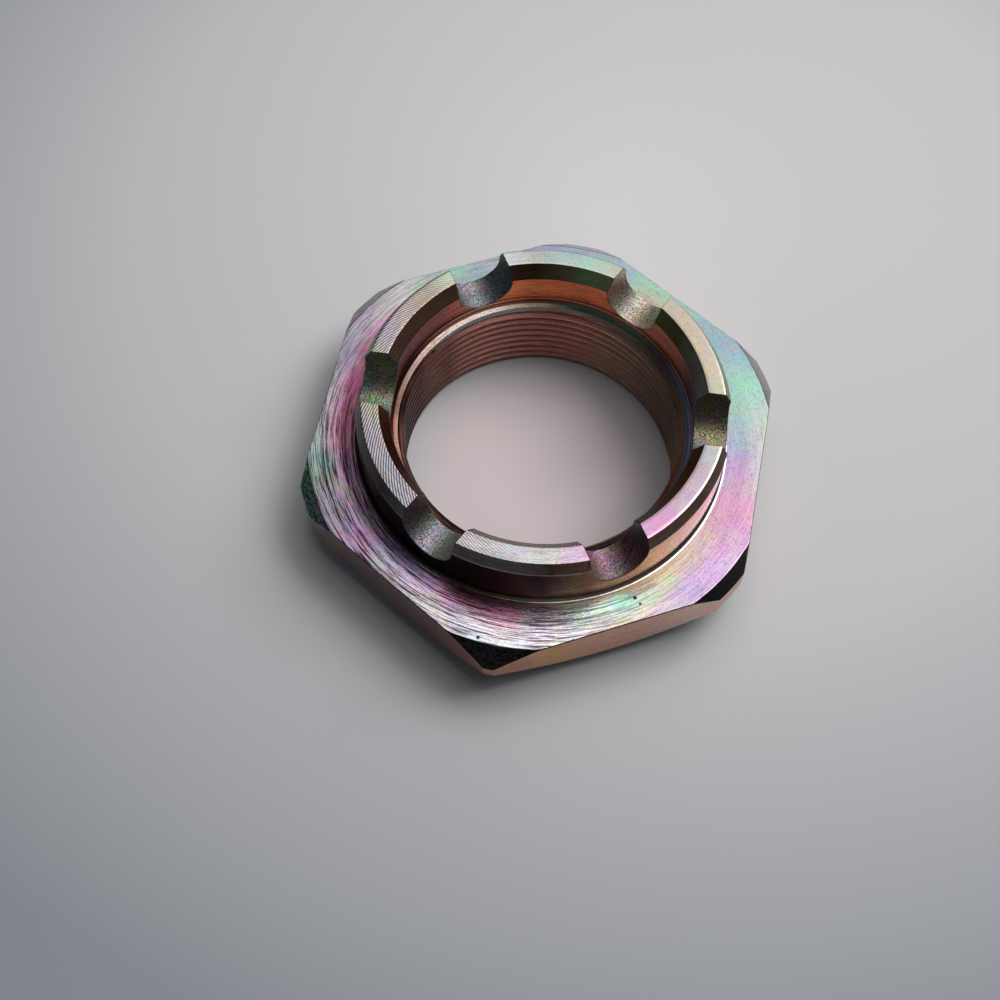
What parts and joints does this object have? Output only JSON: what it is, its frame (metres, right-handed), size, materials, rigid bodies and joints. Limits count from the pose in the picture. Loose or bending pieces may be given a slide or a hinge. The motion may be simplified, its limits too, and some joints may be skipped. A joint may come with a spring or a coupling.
{
  "type": "castle nut",
  "caption": "Low hexagonal castle nut with a turned, slotted collar, a counterbored mouth and a fine internal thread.",
  "frame": {"origin": "on the thread's axis, at the bearing face", "axes": "+Z along the thread's axis, from the bearing face to the slotted collar; +Y along one pair of slots"},
  "size_m": [0.072, 0.0672, 0.0206],
  "materials": {
    "plated_steel": "zinc plated with an iridescent yellow chromate, turned faces"
  },
  "bodies": {
    "root": {"castle_nut": "plated_steel"}
  },
  "joints": []
}
